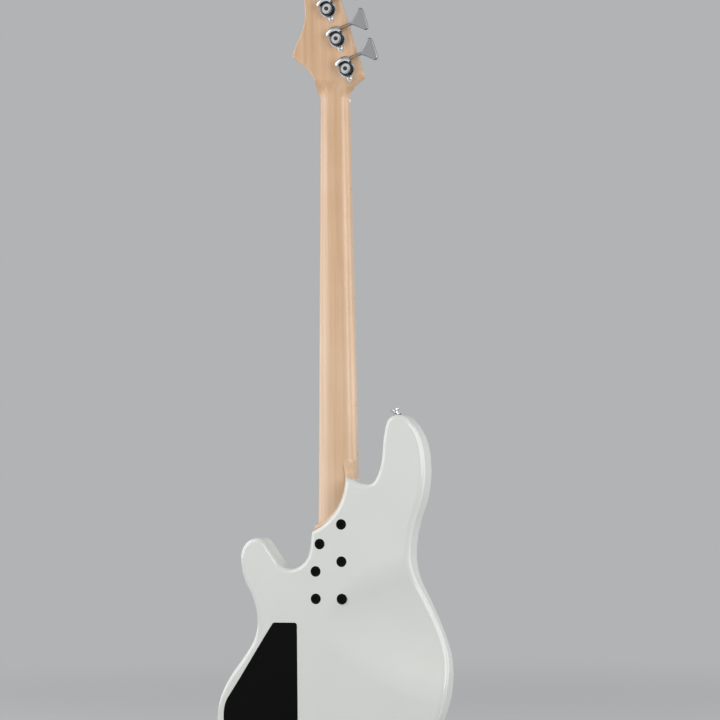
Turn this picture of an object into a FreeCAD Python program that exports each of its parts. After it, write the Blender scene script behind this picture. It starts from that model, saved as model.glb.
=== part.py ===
import FreeCAD, Part
import math
import os
from FreeCAD import Vector

os.makedirs("parts", exist_ok=True)

# An electric bass guitar, in millimetres. +Z runs up the neck, the strings face -Y and the back faces +Y.
# The bass side is -X. The origin is the seat of the end strap button, on the tail, at half thickness.

# Clearances
overrun = 2.0
fit_gap = 0.15
run_gap = 0.3

# Screw heads
head_rim_share = 0.5
head_crown_share = 0.6
drive_share = 0.6

# Scale and strings, from the bass string to the treble string
scale_length = 863.6
fret_count = 24
string_diameters = [2.67, 2.16, 1.65, 1.14]
nut_string_pitch = 10.3
bridge_string_pitch = 19.0
action_at_octave = 2.2
string_bend_radius = 15.0
winding_turn_counts = [2, 2, 3, 3]
winding_gap = 1.0
winding_clearance = 0.4
winding_standoff = 7.0
winding_lead = 6.0

# Body
body_length = 515.0
body_width = 334.0
body_thickness = 44.0
body_edge_radius = 7.0
bridge_setback = 88.0
heel_edge_radius = 80.0
heel_corner_radius = 5.0
belly_radius = 230.0
belly_start = -10.0
belly_height = 232.0
belly_slope_share = 0.115
belly_blend_radius = 120.0
# Outline from the heel's bass corner round the bass horn, tail and treble horn to the heel's treble corner:
# share of the width, share of the length, heading in degrees from +X
heel_bass_shares = (-0.073, 0.835, 196)
horn_button_shares = (-0.282, 0.998, 161.5)
tail_button_shares = (0.0, 0.0, 0)
widest_treble_shares = (0.5015, 0.1825, 90)
heel_treble_shares = (0.076, 0.691, 97)
body_outline_shares = [
    heel_bass_shares, (-0.165, 0.816, 182), (-0.223, 0.862, 105), (-0.240, 0.948, 99),
    horn_button_shares, (-0.299, 1.0, 180), (-0.371, 0.966, 236), (-0.414, 0.854, 270),
    (-0.347, 0.625, 270), (-0.434, 0.466, 246), (-0.497, 0.315, 270), (-0.392, 0.120, 306),
    tail_button_shares, (0.329, 0.0245, 13), widest_treble_shares, (0.416, 0.3235, 129),
    (0.3195, 0.4485, 90), (0.391, 0.621, 90), (0.320, 0.674, 180), (0.2695, 0.6475, 236),
    (0.1735, 0.591, 180), (0.091, 0.631, 107), heel_treble_shares,
]

# Neck and fingerboard
nut_width = 41.3
last_fret_width = 59.8
board_rise = 10.0
board_thickness = 6.0
board_overhang = 12.0
neck_blank = 20.0
shaft_depth_nut = 15.0
shaft_depth_heel = 18.0
shaft_fullness_share = 0.8
shaft_flank_share = 0.62
tongue_reach_share = 0.815
tongue_corner_radius = 6.0
heel_lip = 3.0
heel_blend_radius = 6.0
heel_runout = 25.0
runout_radius = 60.0
runout_spread = 80.0
runout_step_count = 4
fret_width = 2.6
fret_height = 1.1
fret_tang_width = 0.6
fret_tang_depth = 1.8
fret_end_inset = 0.6
nut_thickness = 4.0
nut_setback = 10.0
nut_top_cover = 0.6
nut_slot_gap = 0.1
dot_radius = 3.0
side_dot_radius = 1.2
dot_depth = 1.5
dot_spread_share = 0.27
side_dot_spread = 4.5
single_dot_frets = [3, 5, 7, 9, 15, 17, 19, 21]
double_dot_frets = [12, 24]
side_dot_frets = [1, 3, 5, 7, 9, 15, 17, 19, 21]
truss_channel_width = 6.4
truss_channel_depth = 10.0
truss_rod_radius = 2.2
truss_block_length = 14.0
truss_margin = 22.0

# Headstock
headstock_thickness = 14.0
headstock_length = 218.0
headstock_width = 105.0
headstock_tilt = 17.2
headstock_edge_radius = 2.0
headstock_runout = 30.0
headstock_ramp = 27.0
# Outline from the nut's treble side round the tip to its bass side: shares of the width and length, heading
headstock_outline_shares = [
    (0.195, 0.055, 82), (0.234, 0.181, 70), (0.320, 0.250, 50), (0.490, 0.3216, 42),
    (0.535, 0.3564, 102), (0.399, 0.516, 111), (0.3686, 0.7124, 84), (0.419, 0.860, 92),
    (0.257, 1.0, 180), (0.002, 0.919, 252.8), (-0.463, 0.186, 252.8), (-0.438, 0.174, 325),
    (-0.333, 0.1395, 322), (-0.225, 0.055, 283),
]

# Tuners: the post axes lie on a line along the headstock's bass edge
tuner_pitch = 45.7
first_post_side = 24.8
first_post_rise = 51.0
post_radius = 4.0
post_waist_radius = 5.2
post_flange_radius = 6.4
post_flange = 1.6
post_reach = 22.0
post_slot = 1.8
post_slot_depth = 5.0
bushing_radius = 6.0
bushing_flange_radius = 8.5
bushing_flange = 1.5
bushing_depth = 8.0
gear_tooth_count = 20
gear_module = 0.9
gear_addendum = 0.8
gear_dedendum = 1.05
gear_width = 4.0
gear_tooth_root_share = 0.5
gear_tooth_tip_share = 0.2
gear_boss_radius = 5.7
gear_boss = 0.8
gear_dish_radius = 7.1
gear_dish = 1.0
gear_screw_radius = 2.7
gear_screw_head = 1.6
gear_screw_shank = 1.6
gear_screw_slot = 0.8
worm_pitch_radius = 3.2
worm_length = 10.0
worm_turn_count = 3
worm_root_share = 0.46
worm_tip_share = 0.16
worm_axis_height = 6.1
base_plate = 1.2
base_radius = 11.6
base_tab_width = 9.0
base_tab_reach = 13.9
base_screw_radius = 1.5
base_screw_head_radius = 2.8
base_screw_head = 1.3
base_screw_length = 9.0
housing_radius = 5.8
housing_wall = 5.4
key_shaft_radius = 2.3
key_reach = 28.5
key_width = 33.0
key_length = 21.0
key_thickness = 5.5
key_edge_radius = 1.8
# Half of the key's outline, from the stem to the middle of the far edge: shares of the length, half width
key_outline_shares = [
    (0.0, 0.15, 38), (0.67, 0.935, 47), (0.80, 1.0, 0), (0.985, 0.78, 276), (1.0, 0.0, 270),
]

# Neck screws and ferrules, in rows from the tongue's end
bolt_row_count = 3
bolt_end_margin = 15.6
bolt_side = 18.8
bolt_pitch_bass = 51.0
bolt_pitch_treble = 37.6
bolt_inset_treble = 6.2
ferrule_radius = 7.3
ferrule_depth = 5.0
bolt_radius = 2.4
bolt_head_radius = 4.6
bolt_head = 3.0
bolt_tip_margin = 4.0
bolt_head_recess = 0.8
bolt_drive_width = 1.3
bolt_drive_depth = 1.6

# Bridge
bridge_width = 84.0
bridge_front = 24.0
bridge_rear = 40.0
bridge_plate_thickness = 3.0
bridge_wall = 3.5
bridge_wall_height = 14.0
bridge_corner_radius = 4.0
saddle_width = 17.0
saddle_front = 7.0
saddle_rear = 15.0
saddle_travel = 6.0
saddle_string_gap = 0.12
saddle_back_drop = 5.0
saddle_groove_gap = 0.15
saddle_groove_depth = 1.4
saddle_lift = 1.0
intonation_step = 1.5
intonation_screw_radius = 1.5
intonation_head_radius = 2.6
intonation_head = 2.5
intonation_screw_height = 1.6
intonation_screw_reach = 12.0
height_screw_radius = 1.5
height_screw_spread = 11.0
height_screw_length = 7.0
height_screw_setback = 4.0
ball_radius = 2.5
ball_length = 6.0
ball_hole_radius = 0.9
string_anchor_height = 8.0
string_hole_gap = 0.5
bridge_screw_radius = 2.0
bridge_screw_head_radius = 3.8
bridge_screw_head = 1.8
bridge_screw_length = 20.0
bridge_screw_margin = 7.0

# Pickups: distances of their middles from the saddle line are shares of the scale
pickup_width = 89.0
pickup_length = 38.0
pickup_height = 20.0
pickup_corner_radius = 6.0
pickup_edge_radius = 2.0
pickup_wall = 2.5
pickup_string_gap = 4.5
pickup_rout_gap = 0.5
pickup_place_shares = [0.155, 0.060]
coil_width = 74.0
coil_length = 12.0
coil_height = 9.0
coil_spacing = 15.0
coil_slot_share = 0.35
pickup_screw_radius = 1.5
pickup_screw_head_radius = 2.9
pickup_screw_head = 1.6
pickup_screw_inset = 5.0
pickup_screw_length = 32.0
channel_radius = 4.0
channel_floor = 1.0

# Control cavity and its cover
cover_thickness = 2.2
cover_gap = 0.2
cover_side = 46.5
cover_foot = 46.0
cover_rim = 11.5
cover_height = 184.5
cover_corner_radius = 4.0
cavity_ledge = 7.5
cavity_front_wall = 5.0
# The cover's outer side, from its foot to its head: shares of its width and height, heading
cover_side_shares = [(0.640, 0.0, 0), (1.0, 0.290, 90), (0.935, 0.440, 124), (0.320, 1.0, 124)]
cover_screw_radius = 1.5
cover_screw_head_radius = 2.8
cover_screw_head = 1.2
cover_screw_length = 12.0
cover_screw_inset = 4.0
cover_screw_shares = [(0.0, 0.0), (0.655, 0.0), (0.0, 0.98), (0.0, 0.42), (0.95, 0.36), (0.53, 0.766)]
cover_screw_hands = [(1, 1), (0, 1), (1, -1), (1, 0), (-1, 0), (-1, -1)]

# Controls
control_shares = [(0.34, 0.72), (0.52, 0.50), (0.60, 0.25)]
control_names = ["volume", "balance", "tone"]
pot_radius = 8.5
pot_height = 9.5
pot_lug = 4.0
pot_lug_thickness = 1.6
pot_lug_root_share = 0.7
pot_bushing_radius = 4.0
pot_bushing_rise = 5.0
pot_nut_radius = 6.0
pot_nut_height = 2.0
pot_shaft_radius = 3.0
pot_shaft_depth = 4.0
pot_shaft_rise = 13.0
knob_radius = 9.5
knob_height = 15.0
knob_crown = 3.0
# Rounded top of the knob: shares of its radius and of its crown's height
knob_top_shares = [(0.0, 0.0), (0.55, 0.18), (0.86, 0.6), (1.0, 1.3)]
knob_skirt_gap = 0.8
knob_well_depth = 6.0
knob_flute_count = 24
knob_flute_radius = 0.9
knob_flute_inset_share = 0.04
capacitor_radius = 4.5
capacitor_length = 14.0

# Output jack, in the treble side at its widest point
jack_bore_radius = 3.2
jack_bore_depth = 24.0
jack_sleeve_radius = 5.0
jack_body_radius = 7.0
jack_body_length = 9.0
jack_plate_radius = 12.5
jack_plate_thickness = 2.0
jack_hole_gap = 1.0
jack_lip = 1.2

# Strap buttons
button_radius = 6.8
button_foot_radius = 5.6
button_waist_radius = 3.4
button_height = 8.4
button_rim = 1.8
button_waist_low_share = 0.3
button_waist_high_share = 0.55
button_crown_share = 0.9
felt_radius = 6.4
felt_thickness = 1.2
strap_screw_radius = 2.0
strap_screw_head_radius = 3.8
strap_screw_head = 2.4
strap_screw_length = 28.0

# Levels that the pieces share
back_y = body_thickness / 2
top_y = -body_thickness / 2
board_y = top_y - board_rise
board_seat_y = board_y + board_thickness
heel_y = board_seat_y + neck_blank
headstock_y = heel_y - headstock_thickness
crown_y = board_y - fret_height
zero_z = bridge_setback + scale_length
nut_z = zero_z + nut_setback
tongue_z = zero_z - tongue_reach_share * scale_length
string_count = len(string_diameters)
nut_end_z = nut_z + nut_thickness
heel_in_z = heel_treble_shares[1] * body_length - heel_edge_radius / 2
cover_width = widest_treble_shares[0] * body_width - cover_rim - cover_side


def fret_z(number):
    return zero_z - scale_length * (1 - 2 ** (-number / 12))


board_end_z = fret_z(fret_count) - board_overhang


def neck_half(z):
    taper = (last_fret_width - nut_width) / (zero_z - fret_z(fret_count))
    return (nut_width + taper * (zero_z - z)) / 2


def save(shape, name):
    shape.exportStep("parts/" + name + ".step")


def group(shapes):
    return Part.makeCompound(shapes)


def block(low, high):
    return Part.makeBox(high.x - low.x, high.y - low.y, high.z - low.z, low)


def rod(radius, start, end):
    axis = end - start
    return Part.makeCylinder(radius, axis.Length, start, axis)


def ring(radius, bore, start, end):
    return rod(radius, start, end).cut(rod(bore, start, end))


def line(start, end):
    return Part.LineSegment(start, end).toShape()


def revolve(profile, base, axis):
    # profile: (radius, height along the axis) pairs, closed along the axis
    side = axis.cross(Vector(0, 1, 0))
    if side.Length < 0.5:
        side = axis.cross(Vector(1, 0, 0))
    side.normalize()
    points = [base + side * r + axis * h for r, h in profile]
    face = Part.Face(Part.makePolygon(points + points[:1]))
    return face.revolve(base, axis, 360)


def heading_vector(degrees):
    return Vector(math.cos(math.radians(degrees)), 0, math.sin(math.radians(degrees)))


def biarc(start, start_way, end, end_way):
    # two arcs that leave start along start_way and reach end along end_way, or one line if all are in line
    chord = end - start
    bend = max(chord.cross(start_way).Length, chord.cross(end_way).Length)
    if bend < 1e-6 * chord.Length:
        return [line(start, end)]
    turn = 2 * (1 - start_way.dot(end_way))
    along = chord.dot(start_way + end_way)
    if turn < 1e-9:
        reach = chord.dot(chord) / (4 * chord.dot(end_way))
    else:
        reach = (math.sqrt(along * along + turn * chord.dot(chord)) - along) / turn
    first = start + start_way * reach
    last = end - end_way * reach
    middle = (first + last) / 2
    edges = []
    for a, corner, b in ((start, first, middle), (middle, last, end)):
        weight = (b - a).normalize().dot((corner - a).normalize())
        if weight > 1 - 1e-12:
            edges.append(line(a, b))
        else:
            crown = (a + corner * (2 * weight) + b) / (2 * (1 + weight))
            edges.append(Part.Arc(a, crown, b).toShape())
    return edges


def outline_edges(points):
    # points: (place, heading) pairs
    edges = []
    for (a, a_heading), (b, b_heading) in zip(points, points[1:]):
        edges += biarc(a, heading_vector(a_heading), b, heading_vector(b_heading))
    return edges


def upright_edges(shape, places, reach):
    # the edges along Y within reach of the given places
    found = []
    for edge in shape.Edges:
        box = edge.BoundBox
        if box.XLength + box.ZLength < 1e-6:
            spot = Vector(box.Center.x, 0, box.Center.z)
            if min((spot - place).Length for place in places) < reach:
                found.append(edge)
    return found


def slab(wire, depth):
    return Part.Face(wire).extrude(Vector(0, depth, 0))


def cross_drive(radius, width, depth, seat, inward):
    # the cross recess in a screw's head, cut inward from the seat
    side = inward.cross(Vector(0, 1, 0))
    if side.Length < 0.5:
        side = inward.cross(Vector(1, 0, 0))
    side.normalize()
    arms = []
    for way in (side, inward.cross(side)):
        other = inward.cross(way)
        low = seat - way * radius - other * (width / 2)
        far = low + way * (2 * radius)
        corners = [low, far, far + other * width, low + other * width]
        arms.append(Part.Face(Part.makePolygon(corners + corners[:1])).extrude(inward * depth))
    return arms[0].fuse(arms[1])


def screw(seat, inward, radius, head_radius, head, length):
    # a screw with a domed head outside its seat and a shank along inward
    shank = rod(radius, seat, seat + inward * length)
    rim = head * head_rim_share
    crown = head_radius * head_crown_share
    profile = [(0, 0), (head_radius, 0), (head_radius, -rim), (crown, -head), (0, -head)]
    cap = revolve(profile, seat, inward)
    drive = cross_drive(head_radius * drive_share, rim, rim, seat - inward * head, inward)
    return cap.cut(drive).fuse(shank).removeSplitter()


def body_point(shares):
    x, z, heading = shares
    return Vector(x * body_width, 0, z * body_length)


def body_outline():
    lift = Vector(0, back_y, 0)
    points = [(body_point(shares) + lift, shares[2]) for shares in body_outline_shares]
    edges = outline_edges(points)
    start, end = points[-1][0], points[0][0]
    chord = end - start
    sag = math.sqrt(heel_edge_radius ** 2 - (chord.Length / 2) ** 2)
    middle = (start + end) / 2
    out = Vector(chord.z, 0, -chord.x).normalize()
    centre = middle + out * sag
    crown = centre - out * heel_edge_radius
    edges.append(Part.Arc(start, crown, end).toShape())
    return Part.Wire(edges), centre


def rim_edges(shape):
    # edges between a broad face of the body and its side wall
    found = []
    for edge in shape.Edges:
        faces = [face for face in shape.Faces if any(edge.isSame(other) for other in face.Edges)]
        if len(faces) < 2:
            continue
        spot = edge.valueAt((edge.FirstParameter + edge.LastParameter) / 2)
        ways = [face.normalAt(*face.Surface.parameter(spot)) for face in faces]
        steep = sorted(abs(way.y) for way in ways)
        if steep[1] > 0.8 and steep[0] < 0.2:
            found.append(edge)
    return found


def belly_scoop():
    axis = Vector(-1, -belly_slope_share, 0).normalize()
    start = Vector(belly_start, back_y + belly_radius, belly_height)
    return rod(belly_radius, start - axis * belly_radius, start + axis * body_width)


def crease_edges(shape):
    found = []
    for edge in shape.Edges:
        faces = [face for face in shape.Faces if any(edge.isSame(other) for other in face.Edges)]
        kinds = [type(face.Surface).__name__ for face in faces]
        if sorted(kinds) == ["Cylinder", "Plane"]:
            round_face = faces[kinds.index("Cylinder")]
            if abs(round_face.Surface.Radius - belly_radius) < 1e-3:
                found.append(edge)
    return found


def body_blank():
    # the outline's slab with the belly scoop on the back and a rounded rim
    wire, centre = body_outline()
    blank = slab(wire, -body_thickness)
    corner = body_point(heel_treble_shares)
    blank = blank.makeFillet(heel_corner_radius, upright_edges(blank, [corner], heel_corner_radius))
    scooped = blank.cut(belly_scoop())
    scooped = scooped.makeFillet(belly_blend_radius, crease_edges(scooped))
    return scooped.makeFillet(body_edge_radius, rim_edges(scooped)), centre


def neck_prism(z_low, z_high, y_low, y_high, grow, corner):
    # the neck's tapered plan as a block, with its tongue corners rounded
    low = neck_half(z_low) + grow
    high = neck_half(z_high) + grow
    points = [Vector(-low, y_low, z_low), Vector(low, y_low, z_low), Vector(high, y_low, z_high)]
    points.append(Vector(-high, y_low, z_high))
    prism = slab(Part.makePolygon(points + points[:1]), y_high - y_low)
    places = [Vector(-low, 0, z_low), Vector(low, 0, z_low)]
    return prism.makeFillet(corner, upright_edges(prism, places, corner))


def bolt_places():
    places = []
    rise = tongue_z + bolt_end_margin
    for row in range(bolt_row_count):
        places.append(Vector(-bolt_side, back_y, rise + row * bolt_pitch_bass))
        inset = bolt_inset_treble if row == bolt_row_count - 1 else 0
        places.append(Vector(bolt_side - inset, back_y, rise + row * bolt_pitch_treble))
    return places


def cover_point(x_share, z_share):
    return Vector(cover_side + x_share * cover_width, back_y, cover_foot + z_share * cover_height)


def cover_wire():
    points = [(cover_point(x, z), heading) for x, z, heading in cover_side_shares]
    foot = cover_point(0, 0)
    head = cover_point(0, 1)
    edges = [line(foot, points[0][0])] + outline_edges(points)
    edges += [line(points[-1][0], head), line(head, foot)]
    return Part.Wire(edges)


def cover_prism(shrink, y_outer, depth):
    # the cover's plan, drawn in by shrink, from y_outer inward
    prism = slab(cover_wire(), -depth)
    slant_top = cover_side_shares[-1]
    places = [cover_point(0, 0), cover_point(0, 1), cover_point(slant_top[0], slant_top[1])]
    places = [Vector(p.x, 0, p.z) for p in places]
    prism = prism.makeFillet(cover_corner_radius, upright_edges(prism, places, cover_corner_radius))
    if shrink:
        face = max(prism.Faces, key=lambda f: f.Area * (f.normalAt(0, 0).y > 0.9))
        prism = Part.Face(face.OuterWire.makeOffset2D(-shrink)).extrude(Vector(0, -depth, 0))
    prism.translate(Vector(0, y_outer - back_y, 0))
    return prism


def cover_screw_places():
    places = []
    for (x, z), (right, up) in zip(cover_screw_shares, cover_screw_hands):
        spot = cover_point(x, z)
        places.append(spot + Vector(right * cover_screw_inset, 0, up * cover_screw_inset))
    return places


def control_places():
    return [cover_point(x, z) for x, z in control_shares]


def string_x(index, pitch):
    return (index - (string_count - 1) / 2) * pitch


def saddle_z(index):
    return bridge_setback - (string_count - 1 - index) * intonation_step


def string_seat_y(z):
    # the line under the strings, from the zero fret's crown to the saddles
    return crown_y - 2 * action_at_octave * (zero_z - z) / scale_length


def pickup_z(index):
    return bridge_setback + pickup_place_shares[index] * scale_length


def pickup_top_y(index):
    return string_seat_y(pickup_z(index)) + pickup_string_gap


def pickup_prism(index, grow, y_front, y_rear):
    z = pickup_z(index)
    half_x = pickup_width / 2 + grow
    half_z = pickup_length / 2 + grow
    box = block(Vector(-half_x, y_front, z - half_z), Vector(half_x, y_rear, z + half_z))
    places = [Vector(x, 0, z + dz) for x in (-half_x, half_x) for dz in (-half_z, half_z)]
    return box.makeFillet(pickup_corner_radius + grow, upright_edges(box, places, pickup_corner_radius))


def pickup_screw_places(index):
    z = pickup_z(index)
    side = pickup_width / 2 - pickup_screw_inset
    rise = pickup_length / 2 - pickup_screw_inset
    return [Vector(x, pickup_top_y(index), z + dz) for x in (-side, side) for dz in (-rise, rise)]


def bridge_screw_places():
    side = bridge_width / 2 - bridge_screw_margin
    front = bridge_setback + bridge_front - bridge_screw_margin
    seat = top_y - bridge_plate_thickness
    return [Vector(x, seat, front) for x in (-side, -bridge_string_pitch / 2, bridge_string_pitch / 2, side)]


def jack_place():
    return body_point(widest_treble_shares)


def make_body():
    blank, heel_centre = body_blank()
    foot = tongue_z - fit_gap
    cuts = [neck_prism(foot, body_length, top_y - overrun, heel_y, fit_gap, tongue_corner_radius)]
    for index in range(len(pickup_place_shares)):
        floor = pickup_top_y(index) + pickup_height
        cuts.append(pickup_prism(index, pickup_rout_gap, top_y - overrun, floor))
        for place in pickup_screw_places(index):
            cuts.append(rod(pickup_screw_radius, place, place + Vector(0, pickup_screw_length, 0)))
    cuts.append(cover_prism(0, back_y + overrun, cover_thickness + overrun))
    cuts.append(cover_prism(cavity_ledge, back_y + overrun, body_thickness - cavity_front_wall + overrun))
    for place in cover_screw_places():
        cuts.append(rod(cover_screw_radius, place, place - Vector(0, cover_screw_length, 0)))
    for place in control_places():
        cuts.append(rod(pot_bushing_radius + fit_gap, Vector(place.x, top_y - overrun, place.z), place))
    for place in bolt_places():
        cuts.append(rod(bolt_radius, place + Vector(0, overrun, 0), Vector(place.x, top_y, place.z)))
        cuts.append(rod(ferrule_radius, place + Vector(0, overrun, 0), place - Vector(0, ferrule_depth, 0)))
    for place in bridge_screw_places():
        cuts.append(rod(bridge_screw_radius, place, place + Vector(0, bridge_screw_length, 0)))
    jack = jack_place()
    outer = jack + Vector(overrun, 0, 0)
    cavity_x = cover_side + cover_width / 2
    cuts.append(rod(jack_body_radius + jack_hole_gap, outer, Vector(cavity_x, 0, jack.z)))
    cuts.append(rod(jack_plate_radius + fit_gap, outer, jack - Vector(jack_plate_thickness, 0, 0)))
    for seat, inward in strap_seats():
        cuts.append(rod(strap_screw_radius, seat, seat + inward * strap_screw_length))
    # the leads' way from the neck pickup past the bridge pickup to the controls
    deep = pickup_top_y(0) + pickup_height - channel_radius - channel_floor
    turn = Vector(0, deep, pickup_z(1))
    cuts.append(rod(channel_radius, Vector(0, deep, pickup_z(0)), turn))
    cuts.append(rod(channel_radius, turn, Vector(cavity_x, deep, turn.z)))
    save(blank.cut(cuts), "body")
    return heel_centre


def shaft_section(z, half, depth):
    # the neck's cross section: flat under the fingerboard, rounded at the back
    keel = board_seat_y + depth
    flank = board_seat_y + depth * shaft_fullness_share
    edges = []
    for side in (-1, 1):
        curve = Part.BezierCurve()
        poles = [Vector(side * half, board_seat_y, z), Vector(side * half, flank, z)]
        poles += [Vector(side * half * shaft_flank_share, keel, z), Vector(0, keel, z)]
        curve.setPoles(poles)
        edges.append(curve.toShape())
    edges.append(line(Vector(-half, board_seat_y, z), Vector(half, board_seat_y, z)))
    return Part.Wire(Part.__sortEdges__(edges))


def shaft_depth(z):
    way = (z - heel_in_z) / (nut_end_z - heel_in_z)
    return shaft_depth_heel + (shaft_depth_nut - shaft_depth_heel) * way


def runout(slim_z, full_z):
    # the wood carved off where the round of the neck, whole at slim_z, opens out and ends at full_z
    sections = []
    for step in range(runout_step_count + 1):
        share = step / runout_step_count
        way = share * (full_z - slim_z)
        rise = runout_radius - math.sqrt(runout_radius ** 2 - way ** 2)
        half = neck_half(slim_z) + runout_spread * share ** 2
        sections.append(shaft_section(slim_z + way, half, shaft_depth(slim_z) + rise))
    kept = Part.makeLoft(sections, True, False)
    side = headstock_width + runout_spread
    low = Vector(-side, board_seat_y, min(slim_z, full_z))
    return block(low, Vector(side, back_y, max(slim_z, full_z))).cut(kept)


def headstock_point(x_share, z_share):
    return Vector(x_share * headstock_width, heel_y, zero_z + z_share * headstock_length)


def headstock():
    # a plate level with the heel, whose front ramps down from the nut and whose back runs into the shaft
    points = [(headstock_point(x, z), heading) for x, z, heading in headstock_outline_shares]
    edges = outline_edges(points) + [line(points[-1][0], points[0][0])]
    blank = slab(Part.Wire(edges), board_seat_y - heel_y)
    flat_z = nut_end_z + headstock_ramp
    drop = headstock_y - board_seat_y
    radius = (headstock_ramp ** 2 + drop ** 2) / (2 * drop)
    reach = Vector(headstock_width, 0, 0)
    middle = Vector(0, headstock_y - radius, flat_z)
    low = Vector(-headstock_width, board_seat_y - overrun, flat_z)
    front = block(low, Vector(headstock_width, headstock_y, zero_z + headstock_length + overrun))
    low = Vector(-headstock_width, board_seat_y - overrun, zero_z)
    foot = block(low, Vector(headstock_width, heel_y + overrun, nut_end_z))
    plate = blank.cut([rod(radius, middle - reach, middle + reach), front, foot])
    rims = [edge for edge in rim_edges(plate) if edge.BoundBox.ZMax > nut_end_z + fit_gap]
    plate = plate.makeFillet(headstock_edge_radius, rims)
    return plate.cut(runout(nut_end_z, nut_end_z + headstock_runout))


def post_places():
    way = heading_vector(90 - headstock_tilt)
    first = Vector(-first_post_side, heel_y, zero_z + first_post_rise)
    return [first + way * (index * tuner_pitch) for index in range(string_count)]


def heel_hollow(centre):
    # what is cut from the heel's end: a drum whose foot is rounded out to meet the shaft's back
    wall = heel_edge_radius - heel_lip
    keel = board_seat_y + shaft_depth_heel
    front = Vector(centre.x, board_y, centre.z)
    rear = Vector(centre.x, back_y, centre.z)
    side = Vector(1, 0, 0)
    rim = rear + side * wall
    upper = Vector(rim.x, keel + heel_blend_radius, rim.z)
    lower = Vector(rim.x - heel_blend_radius, keel, rim.z)
    round_share = 1 - math.sqrt(0.5)
    crown = Vector(rim.x - heel_blend_radius * round_share, keel + heel_blend_radius * round_share, rim.z)
    foot = front + side * (wall - heel_blend_radius)
    edges = [line(front, rear), line(rear, rim), line(rim, upper), Part.Arc(upper, crown, lower).toShape()]
    edges += [line(lower, foot), line(foot, front)]
    return Part.Face(Part.Wire(edges)).revolve(front, Vector(0, 1, 0), 360)


def heel_block(heel_centre):
    # the square heel, whose end follows the body's edge a lip's width in front of it and runs into the shaft
    corner_z = body_point(heel_bass_shares).z
    top = corner_z + heel_runout
    blank = neck_prism(tongue_z, top, board_seat_y, heel_y, 0, tongue_corner_radius)
    hollow = heel_hollow(heel_centre)
    low = Vector(-last_fret_width, board_seat_y - overrun, tongue_z - overrun)
    step = block(low, Vector(last_fret_width, top_y, board_end_z))
    return blank.cut([hollow, step, runout(top, corner_z)])


def make_neck(heel_centre):
    sections = [shaft_section(z, neck_half(z), shaft_depth(z)) for z in (heel_in_z, nut_end_z)]
    shaft = Part.makeLoft(sections, True, True)
    neck = shaft.fuse([heel_block(heel_centre), headstock()])
    cuts = []
    through = Vector(0, headstock_thickness + overrun, 0)
    for place in post_places():
        cuts.append(rod(bushing_radius, place + Vector(0, overrun, 0), place - through))
    for place in bolt_places():
        cuts.append(rod(bolt_radius, place, Vector(place.x, top_y + bolt_tip_margin, place.z)))
    half = truss_channel_width / 2
    low = Vector(-half, board_seat_y - overrun, board_end_z + truss_margin)
    cuts.append(block(low, Vector(half, board_seat_y + truss_channel_depth, zero_z)))
    for spot in tuner_screw_places():
        cuts.append(rod(base_screw_radius, spot, spot - Vector(0, base_screw_length, 0)))
    save(neck.cut(cuts), "neck")


def make_fingerboard():
    board = neck_prism(board_end_z, nut_z, board_y, board_seat_y, 0, fret_width)
    cuts = []
    for number in range(fret_count + 1):
        z = fret_z(number)
        low = Vector(-last_fret_width, board_y - overrun, z - fret_tang_width / 2)
        cuts.append(block(low, Vector(last_fret_width, board_y + fret_tang_depth, z + fret_tang_width / 2)))
    save(board.cut(cuts + dot_solids()), "fingerboard")


def make_frets():
    frets = []
    for number in range(fret_count + 1):
        z = fret_z(number)
        half = neck_half(z) - fret_end_inset
        left = Vector(-half, board_y, z - fret_width / 2)
        right = Vector(-half, board_y, z + fret_width / 2)
        arc = Part.Arc(left, Vector(-half, crown_y, z), right).toShape()
        face = Part.Face(Part.Wire([arc, line(right, left)]))
        crown = face.extrude(Vector(2 * half, 0, 0))
        low = Vector(-half, board_y, z - fret_tang_width / 2)
        tang = block(low, Vector(half, board_y + fret_tang_depth, z + fret_tang_width / 2))
        frets.append(crown.fuse(tang).removeSplitter())
    save(group(frets), "frets")


def dot_solids():
    dots = []
    for number in single_dot_frets + double_dot_frets:
        z = (fret_z(number) + fret_z(number - 1)) / 2
        spread = dot_spread_share * neck_half(z) * 2
        for x in ((-spread, spread) if number in double_dot_frets else (0,)):
            dots.append(rod(dot_radius, Vector(x, board_y, z), Vector(x, board_y + dot_depth, z)))
    for number in side_dot_frets + double_dot_frets:
        middle = (fret_z(number) + fret_z(number - 1)) / 2
        shifts = (-side_dot_spread / 2, side_dot_spread / 2) if number in double_dot_frets else (0,)
        for shift in shifts:
            z = middle + shift
            y = board_y + board_thickness / 2
            inner = Vector(dot_depth - neck_half(z), y, z)
            dots.append(rod(side_dot_radius, inner, Vector(-neck_half(z), y, z)))
    return dots


def make_truss_rod():
    half = truss_channel_width / 2 - fit_gap
    low_z = board_end_z + truss_margin + fit_gap
    high_z = zero_z - fit_gap
    near = board_seat_y + fit_gap
    far = board_seat_y + truss_channel_depth
    ends = []
    for z in (low_z, high_z - truss_block_length):
        ends.append(block(Vector(-half, near, z), Vector(half, far, z + truss_block_length)))
    rods = []
    for y in (near + truss_rod_radius, far - truss_rod_radius):
        rods.append(rod(truss_rod_radius, Vector(0, y, low_z), Vector(0, y, high_z)))
    save(ends[0].fuse(ends[1:] + rods), "truss_rod")


def string_run(index):
    # the string's corners: ball, saddle and zero fret
    diameter = string_diameters[index]
    x = string_x(index, bridge_string_pitch)
    anchor_z = bridge_setback - bridge_rear - bridge_wall
    anchor = Vector(x, top_y - bridge_plate_thickness - string_anchor_height, anchor_z)
    z = saddle_z(index)
    saddle = Vector(x, string_seat_y(z) - diameter / 2, z)
    crown = Vector(string_x(index, nut_string_pitch), crown_y - diameter / 2, zero_z)
    return anchor, saddle, crown


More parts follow.
